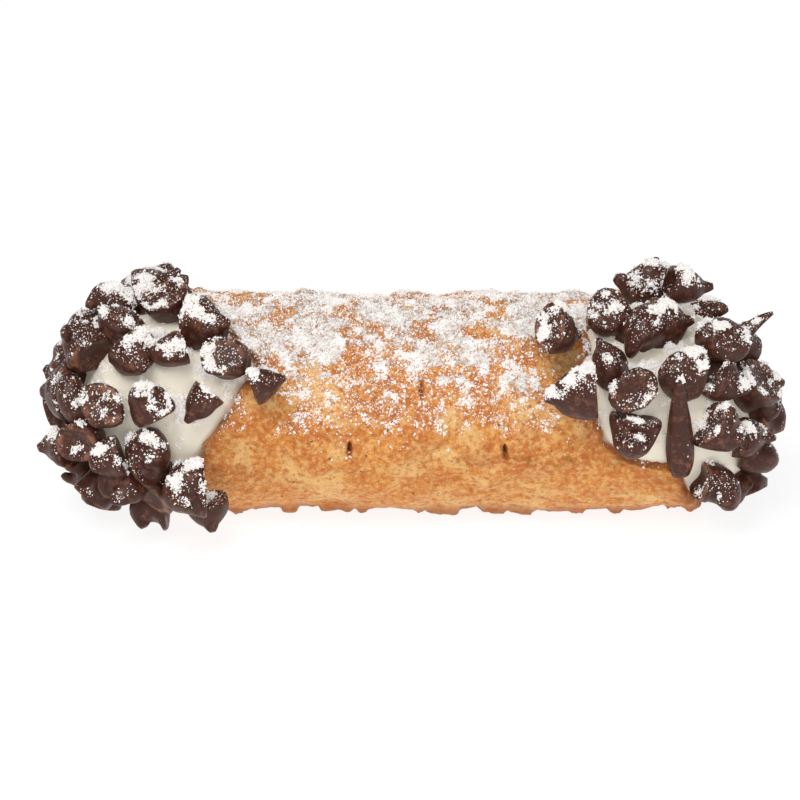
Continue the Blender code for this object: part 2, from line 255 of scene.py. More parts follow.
def make_piece(name, points, faces, slot, values=None):
    """An object that rides on the model's one body, from points and lists of faces.

    Its signed volume is printed: above nothing, the faces point outwards.
    """
    mesh = bpy.data.meshes.new(name)
    mesh.from_pydata(points, [], [face for block in faces for face in block.tolist()])
    if slot != "icing_sugar":  # a grain of sugar keeps its flat faces
        mesh.shade_smooth()
    piece = new_object(name, mesh)
    for key, numbers in (values or {}).items():
        add_values(piece, key, numbers)
    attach(piece, "root")
    triangles = sum(len(block) * (block.shape[1] - 2) for block in faces)
    solid = bmesh.new()
    solid.from_mesh(mesh)
    volume = solid.calc_volume(signed=True)
    solid.free()
    print(name, "has", triangles, "triangles and holds", round(volume / MM**3), "mm3")
    return piece


# %% Read normals and triangles back


def normals_of(piece):
    """The unit normal at each of a piece's points."""
    return rows_of(piece.data.vertex_normals, "vector")


def triangles_of(mesh):
    """The three point numbers of each triangle of a mesh, one row a triangle."""
    mesh.calc_loop_triangles()
    return rows_of(mesh.loop_triangles, "vertices", np.int32)


print("the packed cream has", len(triangles_of(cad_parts["ricotta_cream"].data)), "triangles")

# %% [markdown]
# ## The crust
#
# Hot fat raises steam in the dough, so a fried shell is covered in blisters of several
# sizes, pressed against each other, over slow swells of the whole wall. Slits are pricked
# in it to let the steam out, and some bubbles burst to small pits. Its underside lay flat
# and stays smoother, and low on the front the dough frays into thin flakes. The surface
# is the plain tube plus a height at every place, and each of these is a layer of it.

# %% Cut the pricked slits
# The middle of each slit: a place along the tube and an angle round it.
SLITS = ((-8.3 * MM, -4), (3.5 * MM, 30), (17.2 * MM, -5))
SLIT_LENGTH = 3.4 * MM
SLIT_WIDTH = 0.95 * MM
SLIT_DEPTH = 1.5 * MM


def apart(along, angle, spot_along, spot_angle):
    """How far a place is from a spot, along the tube and round it, over the crust."""
    return along - spot_along, np.radians(turn_from(spot_angle, angle)) * CRUST_RADIUS


def slit_depth(along, angle):
    """How deep the slits cut, 0 to 1: each is a lens, deepest in its middle."""
    deep = np.zeros_like(along)
    for spot in SLITS:
        across, up = apart(along, angle, *spot)
        lens = (2 * across / SLIT_WIDTH) ** 2 + (2 * up / SLIT_LENGTH) ** 2
        deep = np.maximum(deep, s_curve(lens, 1.3, 0.35))
    return deep


print(len(SLITS), "slits of", SLIT_LENGTH / MM, "mm")

# %% Burst the small bubbles
POCK_COUNT = 110
POCK_DEPTH = 0.45 * MM


def pock_depth(along, angle, rng):
    """Burst bubbles, 0 to 1 deep: small round pits, seldom over a millimetre across."""
    deep = np.zeros_like(along)
    for _ in range(POCK_COUNT):
        spot = rng.uniform(-34, 44) * MM, rng.uniform(-60, 240)
        radius = rng.uniform(0.35, 0.75) * MM
        across, up = apart(along, angle, *spot)
        squeeze = rng.uniform(0.6, 1.6)
        far = np.hypot(across * squeeze, up / squeeze) / radius
        deep = np.maximum(deep, s_curve(far, 1.2, 0.3) * rng.uniform(0.4, 1))
    return deep


print(POCK_COUNT, "burst bubbles")

# %% Fray the dough low on the front
FLAKE_ANGLE = -66
FLAKE_SPREAD = 6
FLAKE_HEIGHT = 1.2 * MM
FLAKE_SIZE = 3 * MM


def flaky_edge(place, angle):
    """Thin torn flakes in a line low on the front, where the dough frayed.

    Each is a peak of rough noise, in a narrow bell of the angle round the tube.
    """
    torn = s_curve(rough_noise(place / np.array([1, 3, 3]), FLAKE_SIZE, 45, 4), 0.0, 0.8)
    off = turn_from(FLAKE_ANGLE, angle)
    return FLAKE_HEIGHT * torn * np.exp(-((off / FLAKE_SPREAD) ** 2))


print("flakes stand up to", FLAKE_HEIGHT / MM, "mm out")

# %% Raise the blisters in layers
BLISTER_CELL, BLISTER_RADIUS = 6.5 * MM, 4.6 * MM
BUBBLE_CELL, BUBBLE_RADIUS = 2.3 * MM, 1.5 * MM
CREASE_WIDTH = 0.9 * MM
STREAK_SIZE, STREAK_STRETCH = 1.5 * MM, np.array([4.5, 1, 1])
CRUMB_SIZE = 1.2 * MM


def domes(distance, radius):
    """Round swellings: 1 - (distance / radius)^2, and nothing past the radius."""
    return np.clip(1 - (distance / radius) ** 2, 0, 1)


def bending(points, size, far, seed):
    """Shifts that bend a pattern out of true: three noises, one to each direction."""
    shifts = [smooth_noise(points, size, seed + n) for n in range(3)]
    return far * np.stack(shifts, axis=-1)


def crust_layers(place):
    """The layers of the crust at places on the plain tube, each by its name."""
    bent = place + bending(place, 5 * MM, 2.4 * MM, 12) + bending(place, 1.6 * MM, 0.6 * MM, 15)
    near, next_near, name = cell_noise(bent, BLISTER_CELL, 21)
    small, _, small_name = cell_noise(bent, BUBBLE_CELL, 31)
    return {
        "blister": domes(near, BLISTER_RADIUS) * (0.15 + 0.85 * name),
        "crease": np.exp(-(((next_near - near) / CREASE_WIDTH) ** 2)) * s_curve(name, 0.3, 0.8),
        "bubble": domes(small, BUBBLE_RADIUS) * small_name,
        "streak": rough_noise(place / STREAK_STRETCH, STREAK_SIZE, 41, 3),
        "crumb": rough_noise(bent, CRUMB_SIZE, 51, 2),
    }


print("blisters are up to", 2 * BLISTER_RADIUS / MM, "mm across")

# %% Add the layers up to a height
SWELL_SIZE, SWELL_HEIGHT = 13 * MM, 0.8 * MM
# Each layer: how high it stands where the crust faces up, how high where it faces the
# table, and the value of it that counts as no height.
LAYER_HEIGHTS = {
    "blister": (1.0 * MM, 0.5 * MM, 0.3),
    "crease": (-0.3 * MM, -0.08 * MM, 0),
    "bubble": (0.3 * MM, 0.1 * MM, 0),
    "streak": (0.05 * MM, 0.18 * MM, 0),
    "crumb": (0.12 * MM, 0.12 * MM, 0),
}


def crust_height(place, angle, layers):
    """The crust's height over the plain tube: swells, flakes and every layer, added up.

    Towards the underside, the layers go over to their second heights.
    """
    facing_down = np.clip(-np.sin(np.radians(angle - 8)), 0, 1)
    pressed = s_curve(facing_down, 0.15, 0.75)
    height = SWELL_HEIGHT * rough_noise(place, SWELL_SIZE, 11, 3) + flaky_edge(place, angle)
    for key, (above, below, level) in LAYER_HEIGHTS.items():
        height += (above + (below - above) * pressed) * (layers[key] - level)
    return height


print("the crust has", len(LAYER_HEIGHTS), "layers over its swells")

# %% Lay a grid from rim to rim
CRUST_STEPS_AROUND = 330
CRUST_STEPS_ALONG = 262
RAGGED = 0.6 * MM

angle = np.linspace(0, 360, CRUST_STEPS_AROUND, endpoint=False)[None, :]
share = np.linspace(0, 1, CRUST_STEPS_ALONG)[:, None]
ragged = RAGGED * rough_noise(outwards(angle[0]) * 30 * MM, 5 * MM, 61, 4)
start = left_rim(angle) + ragged
end = right_rim(angle) + ragged[::-1]
along = start + (end - start) * share
angles = np.broadcast_to(angle, along.shape)
rim_near = np.minimum(along - start, end - along)
place = on_tube(along, angles, np.full_like(along, CRUST_RADIUS))
layers = crust_layers(place)
height = crust_height(place, angles, layers)
print("heights before the rims:", np.round([height.min() / MM, height.max() / MM], 2), "mm")

# %% [markdown]
# The sheet of dough is rolled until its end laps over its start, and the lap shows as a
# step along the tube. Near the rims the dough flares a little and crumbles.

# %% Add the lap, the rims and the pits
SEAM_ANGLE = 41
LAP_STEP = 0.6 * MM
RIM_FLARE = 0.6 * MM
RIM_CRUMBLE = 0.4 * MM
CRUST_SINK = 0.35 * MM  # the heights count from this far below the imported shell

height += RIM_FLARE * s_curve(rim_near, 5 * MM, 0)
crumbly = rough_noise(place, 2.4 * MM, 65)
height += RIM_CRUMBLE * crumbly * s_curve(rim_near, 10 * MM, 2 * MM)
seam_wave = 5 * rough_noise(on_tube(along, 0 * along, 0 * along), 9 * MM, 71, 2)
past_seam = turn_from(SEAM_ANGLE, angles)
height += LAP_STEP * s_curve(past_seam + seam_wave, -2, 1.5) * s_curve(past_seam, 60, 10)
slits = slit_depth(along, angles)
pocks = pock_depth(along, angles, np.random.default_rng(5))
height -= SLIT_DEPTH * slits + POCK_DEPTH * pocks
crust = on_tube(along, angles, CRUST_RADIUS - CRUST_SINK + height)
crust[..., 2] = np.maximum(crust[..., 2], 0)
print("heights in all:", np.round([height.min() / MM, height.max() / MM], 2), "mm")

# %% Turn the rims over to the inner wall
RIM_STEPS = 7
INSIDE_STEPS = 12
RIM_ROUND = 0.55  # how far the rim's curl stands out, as a share of half the wall


def rim_curl(edge, outer, side, turn):
    """The half circle from the crust's last row to the inner wall: ring after ring."""
    _, radius = around(outer)
    middle, half = (radius + TUBE_RADIUS) / 2, (radius - TUBE_RADIUS) / 2
    reach = side * RIM_ROUND * half * np.sin(turn)
    return on_tube(edge + reach, angle, middle + half * np.cos(turn))


turn = np.linspace(0, np.pi, RIM_STEPS + 2)[1:-1, None]
inside_share = np.linspace(1, 0, INSIDE_STEPS)[:, None]
inside_radius = np.full((INSIDE_STEPS, 1), TUBE_RADIUS)
inside = on_tube(start + (end - start) * inside_share, angle, inside_radius)
right_curl = rim_curl(end, crust[-1:], 1, turn)
left_curl = rim_curl(start, crust[:1], -1, turn[::-1])
ring = np.concatenate([crust, right_curl, inside, left_curl])
ring[..., 2] = np.maximum(ring[..., 2], 0)
print("the whole ring has", ring.shape[0], "rows of", ring.shape[1], "points")

# %% Make the shell
INSIDE_BROWN = 0.65


def whole_ring(values, rest):
    """An attribute of the crust's outside, with one value for the rims and the inside."""
    full = np.full(ring.shape[:2], rest)
    full[: len(values)] = values
    return full.ravel()


brown = 0.4 * s_curve(rim_near, 1.2 * MM, 0) + 0.25 * s_curve(rim_near, 6 * MM, 0)
# the pit value marks the deepest middle of each slit, which the finish paints near black as shade
shell = make_piece(
    "fried_shell",
    ring.reshape(-1, 3),
    [grid_faces(*ring.shape[:2], ring=True)[:, ::-1]],
    "pastry_shell",
    {"rim": whole_ring(brown, INSIDE_BROWN), "pit": whole_ring(slits == 1, 0.0)},
)
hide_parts("pastry_shell")

# %% [markdown]
# ## The cream
#
# Ricotta cream is piped in from both ends until it bulges past the rims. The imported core
# gives its ends. Its outline is the curve (x/L)^8 + (r/R)^2 = 1, a cylinder with round
# ends. Inside the shell it is held to the tube's radius, and it swells as it leaves it.

# %% Sizes of the cream, from its packed core
cream_low, cream_high = (np.array(corner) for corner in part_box("ricotta_cream"))
CREAM_MIDDLE = (cream_low[0] + cream_high[0]) / 2
CREAM_HALF = (cream_high[0] - cream_low[0]) / 2
CREAM_RADIUS = 17.9 * MM
CREAM_LEANS = (0.07, 0.3)
CREAM_UNDERSIDE = (2.9 * MM, 4.5 * MM)
CREAM_ROWS = 300
CREAM_COLUMNS = 220
print("cream from", (cream_low[0] / MM).round(), "to", (cream_high[0] / MM).round(), "mm")

# %% Give the cream its outline


def cream_surface(share, angle):
    """Points of the cream for a share of its length, -1 to 1, and an angle.

    The radius is R times the root of 1 - share^8. The ends lean: their tops draw back.
    """
    radius = CREAM_RADIUS * np.sqrt(np.clip(1 - share**8, 0, 1))
    point = on_tube(CREAM_MIDDLE + CREAM_HALF * share, angle, radius)
    lean = np.where(share > 0, CREAM_LEANS[1], -CREAM_LEANS[0])
    point[..., 0] -= lean * (point[..., 2] - AXIS_HEIGHT) * share**4
    return point


def past_rims(along, angle):
    """How far a place is past the nearer rim: negative inside the shell."""
    return np.maximum(left_rim(angle) - along, along - right_rim(angle))


cosine = np.cos(np.linspace(np.pi, 0, CREAM_ROWS + 2)[1:-1, None])
share = np.sign(cosine) * np.abs(cosine) ** 0.25
angle = np.linspace(0, 360, CREAM_COLUMNS, endpoint=False)[None, :]
share, angle = np.broadcast_arrays(share, angle)
past = past_rims(cream_surface(share, angle)[..., 0], angle)
print("the cream reaches", (past.max() / MM).round(), "mm past the rims")

# %% Hold the cream in the tube and let it swell outside
CREAM_RELEASE = (-0.5 * MM, 2.5 * MM)  # past the rim, it swells over this stretch
CREAM_LUMP, CREAM_LUMP_SIZE = 0.55 * MM, 8 * MM
radius_limit = TUBE_RADIUS + (CREAM_RADIUS - TUBE_RADIUS) * s_curve(past, *CREAM_RELEASE)


def shaped_cream(share, angle, limit):
    """The cream's surface held to a radius, with soft lumps and a flattened underside."""
    point = cream_surface(share, angle)
    turn, radius = around(point)
    lumps = CREAM_LUMP * rough_noise(point, CREAM_LUMP_SIZE, 81, 2)
    radius = np.minimum(radius, limit) + lumps * (radius > 2 * MM) * (limit > TUBE_RADIUS)
    point = on_tube(point[..., 0], turn, radius)
    rise = s_curve(past_rims(point[..., 0], -90), 0, 5 * MM)
    lowest = CREAM_UNDERSIDE[0] + (CREAM_UNDERSIDE[1] - CREAM_UNDERSIDE[0]) * rise
    point[..., 2] = np.maximum(point[..., 2], lowest)
    return point


cream_grid = shaped_cream(share, angle, radius_limit)
print("the cream's lowest point is", (cream_grid[..., 2].min() / MM).round(1), "mm up")

# %% Make the filling
cream_tips = cream_grid[[0, -1]].mean(axis=1)
cream_points = np.concatenate([cream_grid.reshape(-1, 3), cream_tips])
cream_faces = [
    grid_faces(*cream_grid.shape[:2], ring=False)[:, ::-1],
    end_faces(*cream_grid.shape[:2])[:, ::-1],
]
cream = make_piece("ricotta_filling", cream_points, cream_faces, "ricotta_cream")
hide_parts("ricotta_cream")

# %% [markdown]
# ## The chocolate chips
#
# A chip is a drop of chocolate let down on a belt: a flat base, a round body and a tip
# that falls over as the nozzle leaves. Its outline is a teardrop curve, turned about a
# centre line that bends more and more towards the tip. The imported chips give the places
# of the chief ones.

# %% Read how each packed chip lies
BASE_WIDTH = 0.8  # the flat base's radius as a share of the chip's
ONE_FLAT = 0.9995  # faces are one flat when the cosine between their normals passes this


def chip_pose(name):
    """The base's middle, the chip's own axes, its radius, length and bend.

    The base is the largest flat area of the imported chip, and the tip is the corner
    furthest from it. The centre line is an arc, so its bend is twice the tip's bearing.
    """
    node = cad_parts[name]
    corners = points_of(node)
    a, b, c = corners[triangles_of(node.data)].transpose(1, 0, 2)
    cross = np.cross(b - a, c - a)
    area = np.linalg.norm(cross, axis=1)
    normal = cross / area[:, None]
    alike = normal @ normal.T > ONE_FLAT
    flat = alike[np.argmax(alike @ area)]
    base = np.average((a + b + c)[flat] / 3, axis=0, weights=area[flat])
    axis = -np.average(normal[flat], axis=0, weights=area[flat])
    axis /= np.linalg.norm(axis)
    rim = np.concatenate([a[flat], b[flat], c[flat]]) - base
    radius = np.linalg.norm(rim, axis=1).max() / BASE_WIDTH
    tip = corners[np.argmax(np.linalg.norm(corners - base, axis=1))] - base
    height = tip @ axis
    side = tip - height * axis
    offset = np.linalg.norm(side)
    bend = 2 * np.arctan2(offset, height)
    side /= offset
    turn = np.stack([side, np.cross(axis, side), axis], axis=1)
    return base, turn, (radius, height * bend / np.sin(bend), bend)


chip_names = sorted(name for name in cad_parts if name.startswith("chocolate_chip"))
poses = [chip_pose(name) for name in chip_names]
chip_bases = np.array([pose[0] for pose in poses])
chip_turns = np.array([pose[1] for pose in poses])
chip_sizes = np.array([pose[2] for pose in poses])
print(len(chip_names), "packed chips, of radius", (chip_sizes[:, 0].min() / MM).round(1), "mm and up")

# %% Draw the outlines of any number of chips at once
CHIP_ROWS = 24
CHIP_COLUMNS = 24
BASE_SHARE = 0.25  # the rows before 0 close the flat base
STICK_LENGTH = 4.5  # a chip this many times as long as its radius is a stick
chip_row = np.linspace(-BASE_SHARE, 1, CHIP_ROWS + 2)[1:-1]


def chip_outlines(stick, rng):
    """Shares of the centre line's length, and how wide the chips are there, row by row.

    With s the share, the width is the larger, smoothly, of a bun, the root of
    1 - ((s - 0.12) / h)^2, and a tail, about 0.7 * (1 - s)^0.5. A stick has the outline
    0.75 * sin(pi * s^0.55)^0.7 of a club.
    """
    share = np.maximum(chip_row, 0) ** rng.uniform(1.0, 1.2, stick.shape)
    top = rng.uniform(0.56, 0.8, stick.shape)
    bun = np.sqrt(np.maximum(1 - ((share - 0.12) / np.where(share < 0.12, 0.3, top)) ** 2, 0))
    tail = rng.uniform(0.55, 0.88, stick.shape) * (1 - share) ** 0.5
    wide = (bun**3 + tail**3) ** (1 / 3) * np.minimum(1 + chip_row / BASE_SHARE, 1) ** 0.9
    wide /= wide.max(axis=1, keepdims=True)
    club = (chip_row + BASE_SHARE) / (1 + BASE_SHARE)
    club_wide = 0.75 * np.sin(np.pi * club**0.55) ** 0.7
    return np.where(stick, club, share), np.where(stick, club_wide, wide)


print("each chip has", CHIP_ROWS, "rows of", CHIP_COLUMNS, "points")

# %% Turn each outline about its bent centre line


def chip_surfaces(sizes, rng):
    """Chips standing on their bases: arrays of chips, rows and columns of points.

    With s the share of the length, the centre line is the running sum of a direction that
    tilts by bend * s^1.6. The base is a little hollow, and each chip is squashed to an
    oval and knocked out of true by smooth noise.
    """
    count = len(sizes)
    radius, length, bend = (sizes[:, n, None] for n in range(3))
    share, wide = chip_outlines(length > STICK_LENGTH * radius, rng)
    tilt = bend * share**1.6
    step = np.diff(share, axis=1, prepend=0) * length
    centre_x = np.cumsum(np.sin(tilt) * step, axis=1)
    centre_z = np.cumsum(np.cos(tilt) * step, axis=1)
    hollow = rng.uniform(0, 0.25, (count, 1)) * radius
    centre_z += hollow * s_curve(wide, 0.8, 0) * (chip_row < 0)
    turn = np.linspace(0, 2 * np.pi, CHIP_COLUMNS, endpoint=False)[None, None, :]
    ball = np.stack(
        np.broadcast_arrays(np.cos(turn) * 1.5, np.sin(turn) * 1.5, share[..., None] * 3),
        axis=-1,
    )
    knock = smooth_noise(ball + rng.uniform(0, 30, (count, 1, 1, 3)), 0.9, 91)
    squash = 1 + 0.14 * np.cos(2 * turn + rng.uniform(0, 6, (count, 1, 1)))
    across = (0.99 * radius * wide)[..., None] * squash * (1 + 0.12 * knock)
    x = centre_x[..., None] + across * np.cos(turn) * np.cos(tilt)[..., None]
    y = across * np.sin(turn)
    z = centre_z[..., None] - across * np.cos(turn) * np.sin(tilt)[..., None]
    return np.stack([x, y, z], axis=-1)


trial = chip_surfaces(np.array([[4 * MM, 8 * MM, 2]]), np.random.default_rng(1))
print("a trial chip measures", (np.ptp(trial, axis=(0, 1, 2)) / MM).round(1), "mm")

# %% Close the chips and put them in their places


def chip_faces(count):
    """The faces of that many chips laid one after another, closed at base and tip."""
    stride = CHIP_ROWS * CHIP_COLUMNS + 2
    start = stride * np.arange(count)[:, None, None]
    sides = grid_faces(CHIP_ROWS, CHIP_COLUMNS, ring=False) + start
    ends = end_faces(CHIP_ROWS, CHIP_COLUMNS) + start
    return [sides.reshape(-1, 4), ends.reshape(-1, 3)]


def placed_chips(surfaces, turns, bases):
    """Turns and moves the chips, and adds the two end points of each: one row a chip."""
    ends = surfaces[:, [0, -1]].mean(axis=2)
    flat = np.concatenate([surfaces.reshape(len(surfaces), -1, 3), ends], axis=1)
    return np.einsum("nij,nkj->nki", turns, flat) + bases[:, None]


print("a chip has", sum(len(block) for block in chip_faces(1)), "faces")

# %% [markdown]
# The smaller gaps hold more chips of the same kind. They are tried at random spots on the
# cream, and kept where they are clear of the others and of the patches that stay bare.

# %% Leave patches of the cream bare
# The middle of each patch along the tube and round it, and its half sizes.
BARE_PATCHES = (
    (-29 * MM, 8, 8 * MM, 32),
    (44 * MM, -2, 17 * MM, 34),
    (54 * MM, 88, 10 * MM, 44),
)


def is_bare(along, angle):
    """Whether a place is in a patch of cream without chips: each patch is an ellipse."""
    return any(
        ((along - x) / half) ** 2 + (turn_from(a, angle) / wide) ** 2 < 1
        for x, a, half, wide in BARE_PATCHES
    )


print(len(BARE_PATCHES), "patches stay bare")

# %% Find free spots for spare chips
SPARE_SPACING = 5.6 * MM
SPARE_TRIES = 6000
SPARE_CLEAR = 2.2 * MM  # no spare chip within this of a rim
SPARE_RISE = 1.2 * MM  # the middle of a spare chip, over the cream
SPARE_LEANS = (0.3, 1.3, 1.5, 1.7, 2.6)
SPARE_SIZES = np.array([[3.8, 8.4, 2.6], [3.5, 7.2, 1.4], [4.0, 9.0, 2.9], [3.7, 8.2, 2.0]])
SPARE_SIZES[:, :2] *= MM


def lying_turn(normal, tip_way, lean):
    """A chip's axes when its tip leans from the normal towards tip_way."""
    level = tip_way - normal * (tip_way @ normal)
    level /= np.linalg.norm(level)
    tip = normal * np.cos(lean) + level * np.sin(lean)
    bend = normal - tip * (normal @ tip) if lean > 0.5 else level - tip * (level @ tip)
    bend /= np.linalg.norm(bend)
    return np.stack([bend, np.cross(tip, bend), tip], axis=1)


def spare_chips(rng):
    """Spots on the open cream, each clear of the others: turns, normals, spots, sizes."""
    normals = normals_of(cream)[:-2]
    spots = cream_points[:-2]
    angle, _ = around(spots)
    open_cream = np.flatnonzero(past_rims(spots[:, 0], angle) > SPARE_CLEAR)
    taken = [base + turn[:, 2] * size[1] * 0.35 for base, turn, size in poses]
    found = []
    for index in rng.choice(open_cream, SPARE_TRIES):
        middle = spots[index] + normals[index] * SPARE_RISE
        if is_bare(spots[index, 0], angle[index]):
            continue
        if np.linalg.norm(np.array(taken) - middle, axis=1).min() < SPARE_SPACING:
            continue
        taken.append(middle)
        lean = rng.choice(SPARE_LEANS)
        turn = lying_turn(normals[index], rng.normal(size=3), lean)
        found.append((turn, normals[index], spots[index], rng.choice(SPARE_SIZES)))
    return [np.array(column) for column in zip(*found)]


rng = np.random.default_rng(17)
spare_turns, spare_normals, spare_spots, spare_sizes = spare_chips(rng)
print(len(spare_turns), "chips fill the gaps")

# %% Press the spare chips into the cream
SPARE_SUNK = 1.5 * MM
spare_sizes = spare_sizes * rng.uniform(0.9, 1.1, (len(spare_sizes), 1))
spare_surfaces = chip_surfaces(spare_sizes, rng)
turned = np.einsum("nij,nrcj->nrci", spare_turns, spare_surfaces)
depth = np.einsum("nrci,ni->nrc", turned, spare_normals).min(axis=(1, 2))
middle = turned.mean(axis=(1, 2))
middle -= spare_normals * np.einsum("ni,ni->n", middle, spare_normals)[:, None]
spare_bases = spare_spots - middle - spare_normals * (depth + SPARE_SUNK)[:, None]
print("spare chips sunk by", SPARE_SUNK / MM, "mm")

# %% [markdown]
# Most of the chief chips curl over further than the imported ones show. The thin sticks stay
# straight but reach deeper, and the chips that would rear up hardly curl.

# %% Curl the chief chips
STICK_SUNK = 3 * MM
STICK_TIP = 2.5 * MM
THIN_RADIUS = 3 * MM
REARING, REARING_CURL = 0.3, 0.7
MOST_BEND = 3.2
TABLE_GAP = 0.3 * MM

is_bun = chip_sizes[:, 0] > THIN_RADIUS
rears = chip_turns[:, 2, 0] > REARING
curls = np.where(rears, REARING_CURL, rng.uniform(1.6, 3.4, len(chip_sizes)))
chip_sizes[is_bun, 2] *= curls[is_bun]
chip_sizes[is_bun, 1] *= rng.uniform(0.86, 1.0, is_bun.sum())
chip_sizes[:, 2] = np.minimum(chip_sizes[:, 2], MOST_BEND)
chip_sizes[~is_bun, 1] += STICK_SUNK + STICK_TIP
chip_bases[~is_bun] -= STICK_SUNK * chip_turns[~is_bun, :, 2]
main_chips = placed_chips(chip_surfaces(chip_sizes, rng), chip_turns, chip_bases)
more_chips = placed_chips(spare_surfaces, spare_turns, spare_bases)
all_chips = np.concatenate([main_chips, more_chips])
all_chips[..., 2] += np.maximum(0, TABLE_GAP - all_chips[..., 2].min(axis=1))[:, None]
print(len(all_chips), "chips; the chief ones bend by", chip_sizes[:, 2].mean().round(1), "radians")

# %% [markdown]
# Chips rub against each other in the bag, so the sharp edge of each base is worn, and the lighter
# brown there is also a painted highlight of that edge. The rows along that edge carry a number near 1
# for the finish to read.

# %% Join the chips of each end into one piece
# the rows of the base edge, which get wear and a painted highlight
BASE_EDGE_ROW, BASE_EDGE_WIDTH = -0.03, 0.045
base_edge_row = np.exp(-(((chip_row - BASE_EDGE_ROW) / BASE_EDGE_WIDTH) ** 2))
worn_and_highlit = np.append(np.repeat(base_edge_row, CHIP_COLUMNS), [0, 0])
chip_pieces = []
for side, end_name in ((-1, "left"), (1, "right")):
    here = all_chips[side * all_chips[:, 0, 0] > 0]
    piece = make_piece(
        f"chocolate_chips_{end_name}",
        here.reshape(-1, 3),
        chip_faces(len(here)),
        "dark_chocolate",
        {"worn_and_highlit": np.tile(worn_and_highlit, len(here))},
    )
    stood_for = np.array(chip_names)[side * chip_bases[:, 0] > 0]
    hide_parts(*stood_for.tolist())
    chip_pieces.append(piece)

# %% [markdown]
# ## Where the sugar falls
#
# Icing sugar is shaken through a sieve held a little to the front of the cannoli. It
# settles on what it meets first, thickest where the surface faces the sieve. A map of the
# highest point in every small square, seen from the sieve, tells what is in the open.

# %% Map what the falling sugar meets
SIEVE_TILT = np.radians(20)
FALL = np.array([0, -np.sin(SIEVE_TILT), np.cos(SIEVE_TILT)])
ACROSS = np.array([0, np.cos(SIEVE_TILT), np.sin(SIEVE_TILT)])
MAP_CELL = 0.45 * MM
MAP_SIZE = (400, 260)


def map_square(points):
    """The square of the map that each point is in."""
    column = (points[:, 0] / MAP_CELL).astype(int) + MAP_SIZE[0] // 2
    row = (points @ ACROSS / MAP_CELL).astype(int) + MAP_SIZE[1] // 2
    return column, row


solid_pieces = [shell, cream, *chip_pieces]
highest = np.full(MAP_SIZE, -1.0)
for piece in solid_pieces:
    points = points_of(piece)
    np.maximum.at(highest, map_square(points), points @ FALL)
print("sugar can reach", (highest > -1).sum(), "squares of the map")

# %% Work out how much sugar each point catches
SHELTER = (2 * MM, 0.5 * MM)  # under a surface by this much a point is bare, or is open
SUGAR_PATCH = 4 * MM


def sugar_catch(piece):
    """0 to 1: how much sugar each point catches, from its slope and what is above it.

    On the shell the sugar rolls over the small bumps, so the plain tube's slope counts too.
    """
    points, normals = points_of(piece), normals_of(piece)
    shelter = highest[map_square(points)] - points @ FALL
    facing = normals @ FALL
    if piece is shell:
        facing = 0.4 * facing + 0.6 * outwards(around(points)[0]) @ FALL
    slope = s_curve(facing, 0.2, 1.08)
    patches = 0.5 + 0.5 * rough_noise(points, SUGAR_PATCH, 101, 4)
    return np.clip(slope * (0.65 + 0.55 * patches), 0, 1) * s_curve(shelter, *SHELTER)


catches = {piece.name: sugar_catch(piece) for piece in solid_pieces}
for piece in solid_pieces:
    add_values(piece, "sugar", catches[piece.name])
    print(piece.name, "catches", round(float(catches[piece.name].mean()), 3))

# %% [markdown]
# ## Grains and clumps of sugar
#
# Sifted sugar is a film of dust with loose clumps on it. The film is part of the finish.
# The clumps are heaps of four-sided grains, each turned and stretched by chance, and all
# the grains on one surface are one piece.

# %% Shape a grain and turn it any way
GRAIN = np.array([[1, 1, 1], [1, -1, -1], [-1, 1, -1], [-1, -1, 1]])
GRAIN_FACES = np.array([[0, 1, 2], [0, 3, 1], [0, 2, 3], [1, 3, 2]])
GRAIN_SIZE, LARGEST_GRAIN = 0.09 * MM, 0.25 * MM
GRAIN_SCATTER = 0.12 * MM


def random_turns(count, rng):
    """Rotations with no favoured way, from random unit quaternions."""
    q = rng.normal(size=(count, 4))
    w, x, y, z = (q / np.linalg.norm(q, axis=1, keepdims=True)).T
    rows = (
        (1 - 2 * (y * y + z * z), 2 * (x * y - w * z), 2 * (x * z + w * y)),
        (2 * (x * y + w * z), 1 - 2 * (x * x + z * z), 2 * (y * z - w * x)),
        (2 * (x * z - w * y), 2 * (y * z + w * x), 1 - 2 * (x * x + y * y)),
    )
    return np.moveaxis(np.array(rows), -1, 0)


print("grains are about", 2 * GRAIN_SIZE / MM, "mm across")

# %% Scatter grains over a piece


def open_faces(host):
    """The corners of a piece's triangles, what each catches, and twice its area."""
    index = triangles_of(host.data)
    corners = points_of(host)[index]
    cross = np.cross(corners[:, 1] - corners[:, 0], corners[:, 2] - corners[:, 0])
    catch = catches[host.name][index].mean(axis=1)
    return corners, catch, np.linalg.norm(cross, axis=1)


def make_clumps(name, host, count, clump, loose, pile, rng):
    """Grains on the faces of a piece, gathered in clumps of about this size.

    The chance of a grain goes with the face's area, what it catches and, sharply, with a
    rough noise, so that grains pile up in its peaks, to the height `pile`. The share
    `loose` falls anywhere.
    """
    corners, catch, area = open_faces(host)
    heap = s_curve(rough_noise(corners.mean(axis=1), clump, 111, 3), 0.15, 0.7)
    chance = area * catch**1.3 * (loose + heap)
    index = rng.choice(len(corners), count, p=chance / chance.sum())
    size = np.minimum(GRAIN_SIZE * rng.lognormal(0, 0.5, count), LARGEST_GRAIN)
    share = rng.dirichlet((1, 1, 1), count)
    spot = np.einsum("ni,nij->nj", share, corners[index])
    spot += rng.normal(0, GRAIN_SCATTER, (count, 3))
    spot += FALL * (pile * heap[index] * rng.uniform(0, 1, count) ** 1.5)[:, None]
    stretch = rng.uniform(0.5, 1.2, (count, 1, 3))
    grain = GRAIN[None] * stretch * size[:, None, None]
    corners = np.einsum("nij,nkj->nki", random_turns(count, rng), grain) + spot[:, None]
    faces = GRAIN_FACES[None] + len(GRAIN) * np.arange(count)[:, None, None]
    return make_piece(name, corners.reshape(-1, 3), [faces.reshape(-1, 3)], "icing_sugar")


